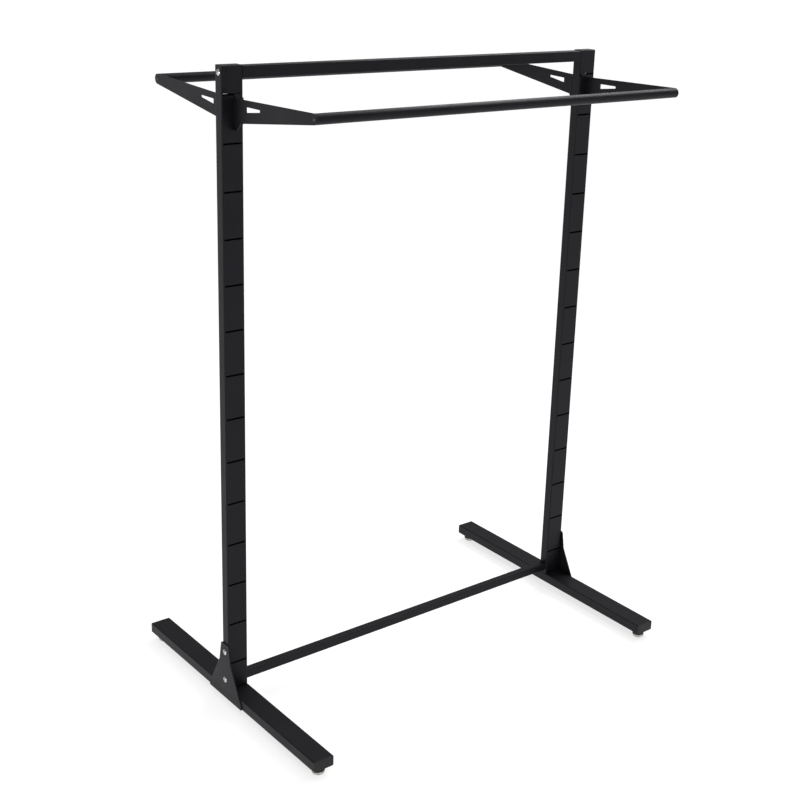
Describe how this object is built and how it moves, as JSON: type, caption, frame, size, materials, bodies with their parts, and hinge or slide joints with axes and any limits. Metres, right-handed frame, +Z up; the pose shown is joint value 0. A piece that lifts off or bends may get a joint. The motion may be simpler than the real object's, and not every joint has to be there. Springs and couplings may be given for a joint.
{
  "type": "double-sided garment rack",
  "caption": "Free-standing black steel garment rack: slotted uprights on base rails, with round hang rails carried on hook-in brackets in front and behind.",
  "frame": {"origin": "on the floor, at the middle of the rack", "axes": "+X along the hang rails, +Y towards the rear, +Z up"},
  "size_m": [1.0616, 0.734, 1.47],
  "materials": {
    "black_powder_coat": "satin",
    "black_plastic": "matte",
    "zinc": "satin",
    "black_zinc": "satin",
    "nickel": "gloss"
  },
  "bodies": {
    "frame": {"base_cap_front_left": "black_plastic", "base_cap_front_right": "black_plastic", "base_cap_rear_left": "black_plastic", "base_cap_rear_right": "black_plastic", "base_rail_left": "black_powder_coat", "base_rail_right": "black_powder_coat", "bottom_bar_insert_left": "zinc", "bottom_bar_insert_right": "zinc", "bottom_bar_screws": "zinc", "bottom_crossbar": "black_powder_coat", "foot_nuts": "zinc", "gusset_plate_left": "black_powder_coat", "gusset_plate_right": "black_powder_coat", "gusset_rivet_nuts": "zinc", "gusset_screws": "zinc", "top_bar_insert_left": "zinc", "top_bar_insert_right": "zinc", "top_bar_screws": "zinc", "top_crossbar": "black_powder_coat", "upright_cap_left": "black_plastic", "upright_cap_right": "black_plastic", "upright_left": "black_powder_coat", "upright_right": "black_powder_coat"},
    "front_rail": {"front_bracket_left": "black_powder_coat", "front_bracket_right": "black_powder_coat", "front_hang_rail": "black_powder_coat", "front_rail_plug_left": "black_plastic", "front_rail_plug_right": "black_plastic", "front_rail_screws": "black_zinc"},
    "front_left_pad": {"foot_pad_front_left": "nickel"},
    "front_left_screw": {"foot_knob_front_left": "black_plastic", "foot_stud_front_left": "zinc"},
    "front_right_pad": {"foot_pad_front_right": "nickel"},
    "front_right_screw": {"foot_knob_front_right": "black_plastic", "foot_stud_front_right": "zinc"},
    "rear_rail": {"rear_bracket_left": "black_powder_coat", "rear_bracket_right": "black_powder_coat", "rear_hang_rail": "black_powder_coat", "rear_rail_plug_left": "black_plastic", "rear_rail_plug_right": "black_plastic", "rear_rail_screws": "black_zinc"},
    "rear_left_pad": {"foot_pad_rear_left": "nickel"},
    "rear_left_screw": {"foot_knob_rear_left": "black_plastic", "foot_stud_rear_left": "zinc"},
    "rear_right_pad": {"foot_pad_rear_right": "nickel"},
    "rear_right_screw": {"foot_knob_rear_right": "black_plastic", "foot_stud_rear_right": "zinc"}
  },
  "joints": [
    {"name": "front_rail_tilt", "type": "hinge", "parent": "frame", "child": "front_rail", "pos_m": [0, -0.01175, 1.412], "axis": [-1, 0, 0], "range_deg": [0, 20]},
    {"name": "rear_rail_tilt", "type": "hinge", "parent": "frame", "child": "rear_rail", "pos_m": [0, 0.01175, 1.412], "axis": [1, 0, 0], "range_deg": [0, 20]},
    {"name": "front_left_foot_travel", "type": "slide", "parent": "frame", "child": "front_left_pad", "axis": [0, 0, -1], "range_m": [0, 0.01]},
    {"name": "front_left_foot_turn", "type": "hinge", "parent": "front_left_pad", "child": "front_left_screw", "pos_m": [-0.5, -0.345, 0], "axis": [0, 0, -1], "range_deg": [0, 2880]},
    {"name": "front_right_foot_travel", "type": "slide", "parent": "frame", "child": "front_right_pad", "axis": [0, 0, -1], "range_m": [0, 0.01]},
    {"name": "front_right_foot_turn", "type": "hinge", "parent": "front_right_pad", "child": "front_right_screw", "pos_m": [0.5, -0.345, 0], "axis": [0, 0, -1], "range_deg": [0, 2880]},
    {"name": "rear_left_foot_travel", "type": "slide", "parent": "frame", "child": "rear_left_pad", "axis": [0, 0, -1], "range_m": [0, 0.01]},
    {"name": "rear_left_foot_turn", "type": "hinge", "parent": "rear_left_pad", "child": "rear_left_screw", "pos_m": [-0.5, 0.345, 0], "axis": [0, 0, -1], "range_deg": [0, 2880]},
    {"name": "rear_right_foot_travel", "type": "slide", "parent": "frame", "child": "rear_right_pad", "axis": [0, 0, -1], "range_m": [0, 0.01]},
    {"name": "rear_right_foot_turn", "type": "hinge", "parent": "rear_right_pad", "child": "rear_right_screw", "pos_m": [0.5, 0.345, 0], "axis": [0, 0, -1], "range_deg": [0, 2880]}
  ],
  "couplings": [
    {"joint": "front_left_foot_travel", "follows": "front_left_foot_turn", "m_per_rad": 0.0001989},
    {"joint": "front_right_foot_travel", "follows": "front_right_foot_turn", "m_per_rad": 0.0001989},
    {"joint": "rear_left_foot_travel", "follows": "rear_left_foot_turn", "m_per_rad": 0.0001989},
    {"joint": "rear_right_foot_travel", "follows": "rear_right_foot_turn", "m_per_rad": 0.0001989}
  ]
}
